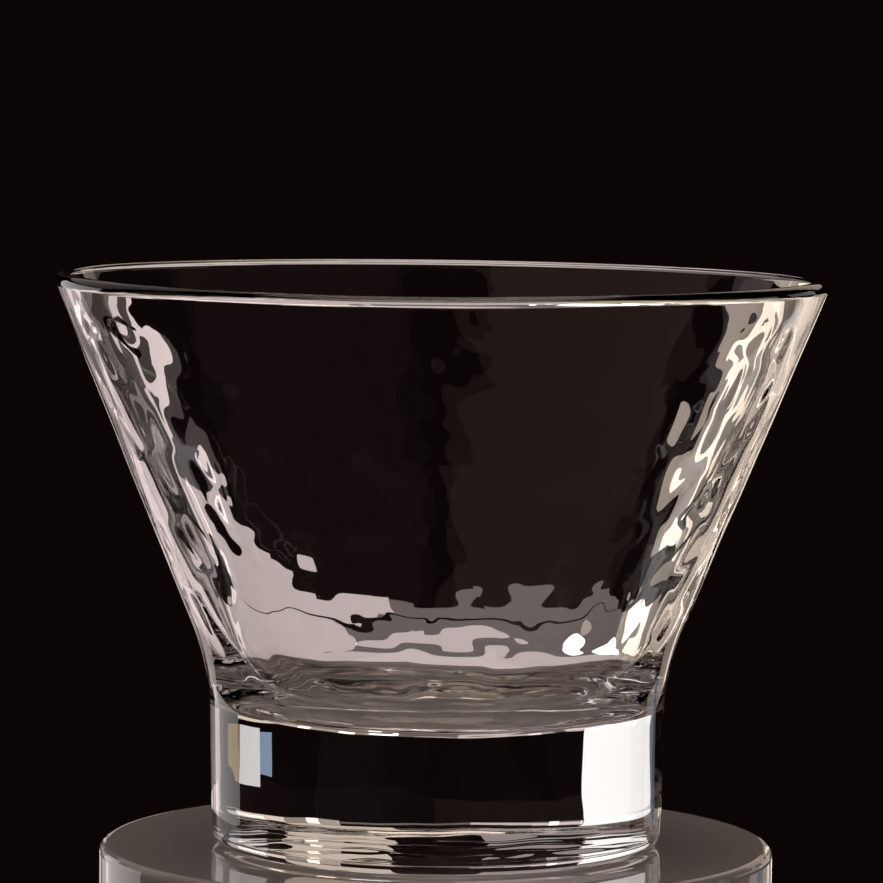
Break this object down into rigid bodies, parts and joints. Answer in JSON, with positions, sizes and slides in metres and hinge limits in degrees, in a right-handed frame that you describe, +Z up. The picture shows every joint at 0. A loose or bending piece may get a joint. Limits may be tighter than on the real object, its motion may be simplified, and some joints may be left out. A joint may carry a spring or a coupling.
{
  "type": "mixing glass",
  "caption": "Short flared mixing glass of thick clear glass: a hammered bowl with a rounded lip, fused to a solid round foot.",
  "frame": {"origin": "centre of the flat base of the foot", "axes": "+Z up along the turning axis, from the base towards the rim; +X and +Y are equivalent"},
  "size_m": [0.105, 0.105, 0.0775],
  "materials": {
    "bowl_glass": "clear, polished, hammered inside",
    "foot_glass": "clear, polished, slightly rippled"
  },
  "bodies": {
    "root": {"bowl": "bowl_glass", "foot": "foot_glass"}
  },
  "joints": []
}
